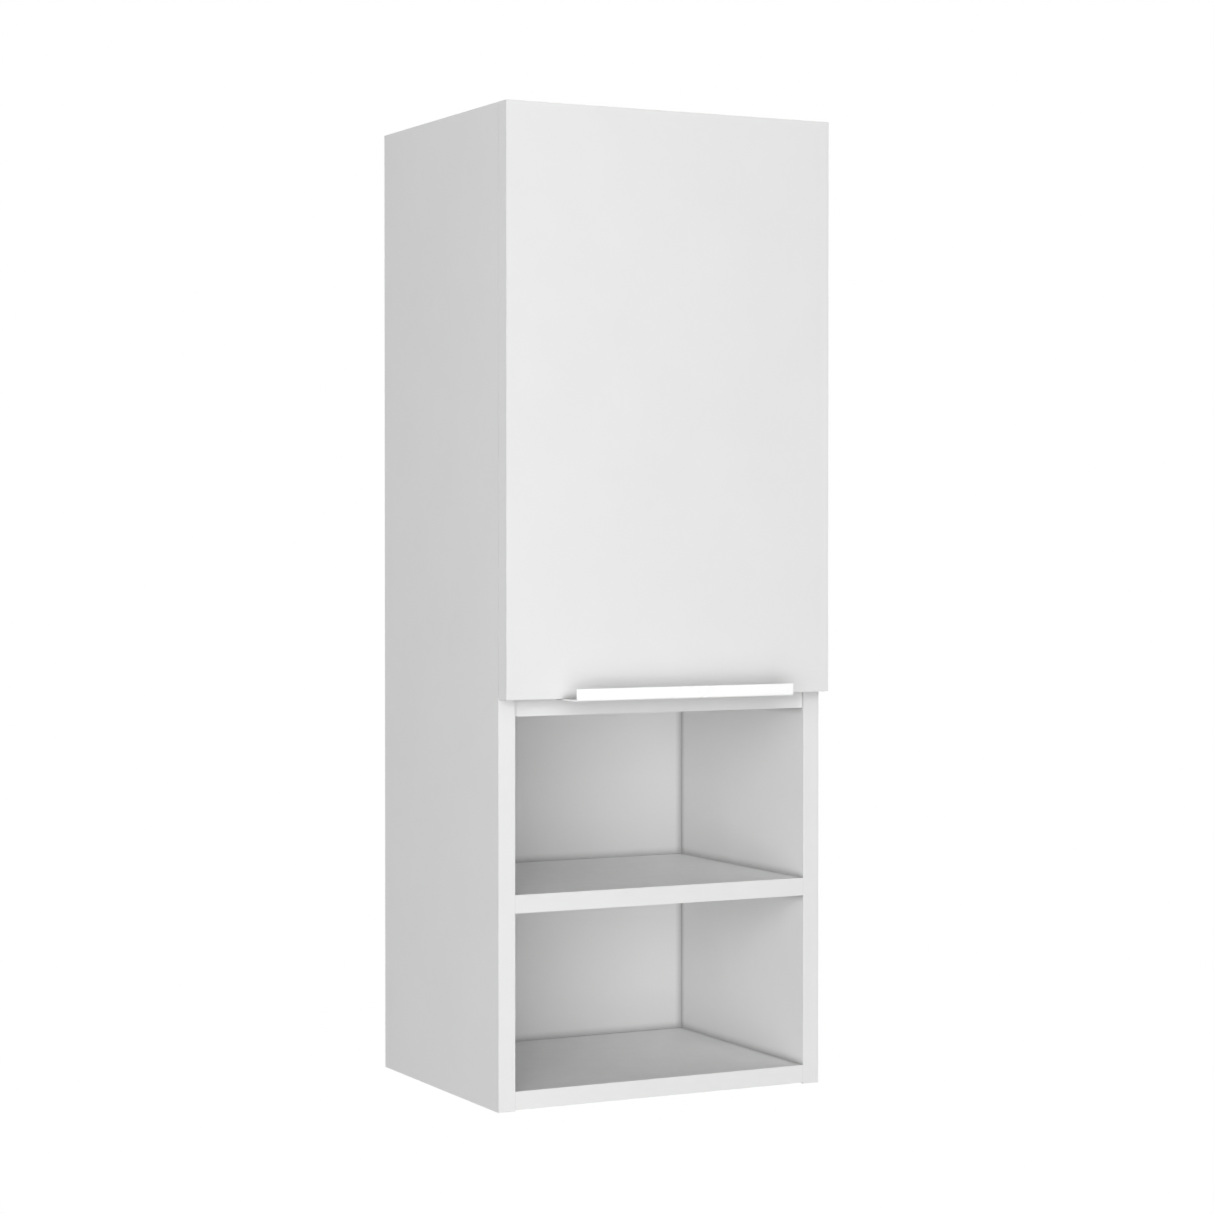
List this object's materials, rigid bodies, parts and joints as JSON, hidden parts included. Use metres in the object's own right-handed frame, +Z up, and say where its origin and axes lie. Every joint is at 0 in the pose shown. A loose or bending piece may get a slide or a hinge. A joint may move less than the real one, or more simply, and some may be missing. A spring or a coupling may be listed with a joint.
{
  "type": "hanging wall cabinet",
  "caption": "Narrow hanging wall cabinet of white coated board: a side-hinged door with an edge pull over open niches, on concealed cup hinges, with a hanging rail for wall screws.",
  "frame": {"origin": "middle of the two wall-screw holes, on the rear face of the hanging rail, which lies against the wall", "axes": "+Z up, +Y into the wall, -Y to the front, +X to the right seen from the front"},
  "size_m": [0.3, 0.2775, 0.814],
  "materials": {
    "board_white": "white melamine-faced particle board, satin, white edge band",
    "back_board": "thin fibreboard, white front",
    "pull_white": "gloss white powder coat",
    "hinge_steel": "nickel-plated pressed steel",
    "nickel_steel": "bright plated steel",
    "zinc": "zinc die casting",
    "beech": "plain beech",
    "bumper_clear": "clear soft polyurethane"
  },
  "bodies": {
    "carcass": {"left_side_panel": "board_white", "right_side_panel": "board_white", "top_panel": "board_white", "divider_panel": "board_white", "niche_shelf": "board_white", "bottom_panel": "board_white", "back_panel": "back_board", "hanging_rail": "board_white", "lower_rail": "board_white", "inner_shelf": "board_white", "shelf_pins": "nickel_steel", "cam_locks": "zinc", "cam_bolts": "nickel_steel", "dowels": "beech", "lower_hinge_arm": "hinge_steel", "lower_arm_pins": "nickel_steel", "lower_mounting_plate": "zinc", "lower_plate_screws": "nickel_steel", "lower_arm_screws": "nickel_steel", "upper_hinge_arm": "hinge_steel", "upper_arm_pins": "nickel_steel", "upper_mounting_plate": "zinc", "upper_plate_screws": "nickel_steel", "upper_arm_screws": "nickel_steel"},
    "door": {"door_panel": "board_white", "door_bumpers": "bumper_clear", "edge_pull": "pull_white", "pull_screws": "nickel_steel", "lower_hinge_cup": "hinge_steel", "lower_cup_pins": "nickel_steel", "lower_cup_screws": "nickel_steel", "upper_hinge_cup": "hinge_steel", "upper_cup_pins": "nickel_steel", "upper_cup_screws": "nickel_steel"},
    "outer_links": {"lower_outer_link": "hinge_steel", "upper_outer_link": "hinge_steel"},
    "inner_links": {"lower_inner_link": "hinge_steel", "upper_inner_link": "hinge_steel"}
  },
  "joints": [
    {"name": "outer_link_swing", "type": "hinge", "parent": "carcass", "child": "outer_links", "pos_m": [0.1137, -0.2268, 0], "axis": [0, 0, 1], "range_deg": [-37.5, 0]},
    {"name": "door_swing", "type": "hinge", "parent": "outer_links", "child": "door", "pos_m": [0.139, -0.2382, 0], "axis": [0, 0, 1], "range_deg": [0, 132.33]},
    {"name": "inner_link_swing", "type": "hinge", "parent": "carcass", "child": "inner_links", "pos_m": [0.1192, -0.2318, 0], "axis": [0, 0, 1], "range_deg": [-29, 0]}
  ],
  "couplings": [
    {"joint": "outer_link_swing", "follows": "door_swing", "ratio": -0.28209},
    {"joint": "inner_link_swing", "follows": "door_swing", "ratio": -0.21805}
  ]
}
